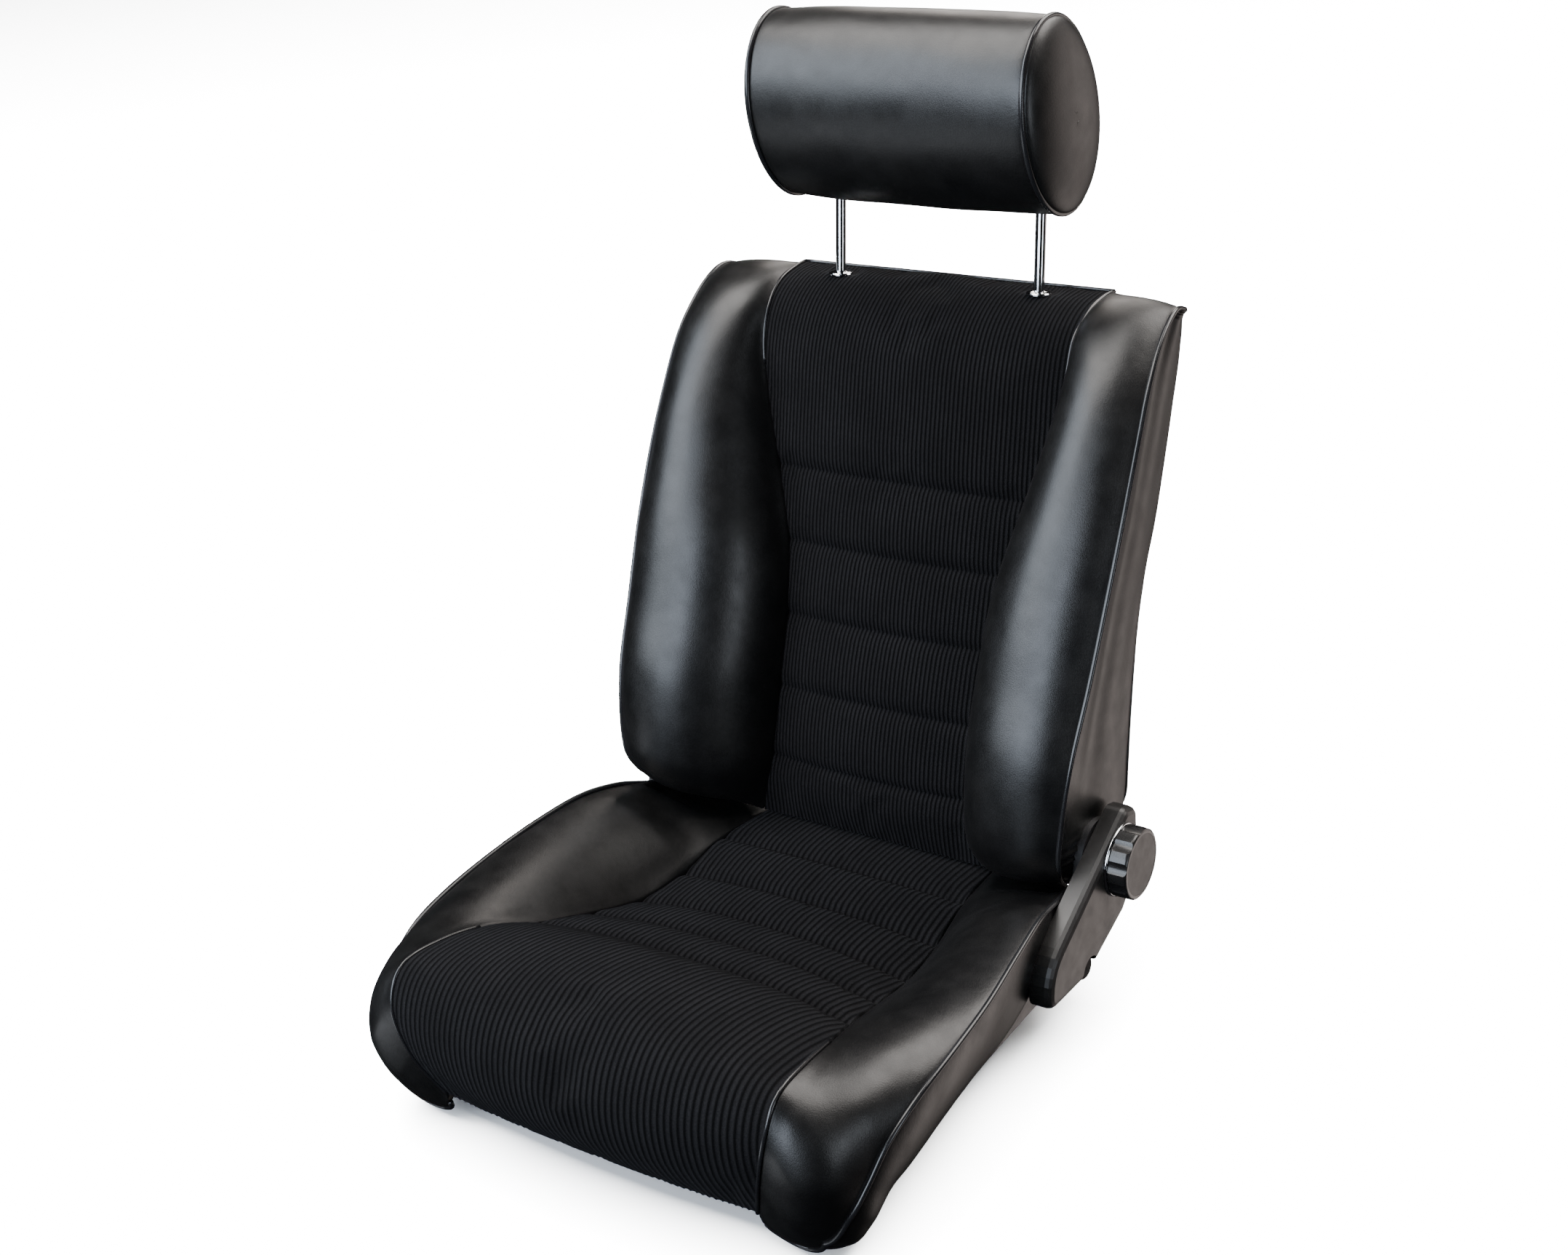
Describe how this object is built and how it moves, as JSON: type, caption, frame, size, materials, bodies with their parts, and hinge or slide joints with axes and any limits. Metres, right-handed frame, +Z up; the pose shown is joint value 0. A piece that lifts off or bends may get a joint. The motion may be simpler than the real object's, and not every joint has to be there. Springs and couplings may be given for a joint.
{
  "type": "reclining sport seat",
  "caption": "Black bolstered sport seat with corduroy centre panels, knob-operated reclining backrest, height-adjustable headrest and bolt-down mounting rails.",
  "frame": {"origin": "centre of the four mounting holes, on the underside of the mounting rails", "axes": "+X to the sitter's left, +Y rearwards, +Z up"},
  "size_m": [0.5555, 0.7187, 0.8568],
  "materials": {
    "vinyl": "satin",
    "corduroy": "matte",
    "chrome": "polished",
    "black_steel": "satin",
    "zinc_steel": "satin",
    "cover_plastic": "satin",
    "gloss_plastic": "gloss"
  },
  "bodies": {
    "base": {"mount_rail_left": "black_steel", "mount_rail_right": "black_steel", "weld_nuts": "zinc_steel", "side_member_left": "black_steel", "side_member_right": "black_steel", "front_cross_tube": "black_steel", "rear_cross_tube": "black_steel", "seat_springs": "zinc_steel", "seat_spring_clips": "black_steel", "seat_insert": "corduroy", "seat_bolster_left": "vinyl", "seat_bolster_right": "vinyl", "lower_arm_left": "black_steel", "lower_arm_right": "black_steel", "arm_spacers": "zinc_steel", "arm_bolts": "zinc_steel", "bolt_caps": "gloss_plastic", "recliner_ring_left": "black_steel", "recliner_ring_right": "black_steel", "pivot_bolt": "zinc_steel", "recliner_cover_left": "cover_plastic", "recliner_cover_right": "cover_plastic"},
    "backrest": {"back_tube_left": "black_steel", "back_tube_right": "black_steel", "back_top_tube": "black_steel", "back_low_tube": "black_steel", "back_springs": "zinc_steel", "upper_arm_left": "black_steel", "upper_arm_right": "black_steel", "recliner_hub_left": "zinc_steel", "recliner_hub_right": "zinc_steel", "back_insert": "corduroy", "back_bolster_left": "vinyl", "back_bolster_right": "vinyl", "back_panel": "vinyl", "headrest_guides": "black_steel", "headrest_rosettes": "chrome"},
    "headrest": {"headrest_post_left": "chrome", "headrest_post_right": "chrome", "headrest_crossbar": "chrome", "headrest_cushion": "vinyl", "headrest_cap_left": "vinyl", "headrest_cap_right": "vinyl"},
    "knob": {"recliner_knob": "gloss_plastic", "knob_disc": "cover_plastic", "knob_spindle": "zinc_steel", "drive_cam": "zinc_steel"}
  },
  "joints": [
    {"name": "backrest_recline", "type": "hinge", "parent": "base", "child": "backrest", "pos_m": [0, 0.165, 0.155], "axis": [-1, 0, 0], "range_deg": [-12, 48]},
    {"name": "headrest_slide", "type": "slide", "parent": "backrest", "child": "headrest", "axis": [0, 0.1392, 0.9903], "range_m": [-0.045, 0.025]},
    {"name": "knob_turn", "type": "hinge", "parent": "base", "child": "knob", "pos_m": [0, 0.165, 0.155], "axis": [-1, 0, 0], "range_deg": [-360, 1440]}
  ],
  "couplings": [
    {"joint": "knob_turn", "follows": "backrest_recline", "ratio": 30}
  ]
}
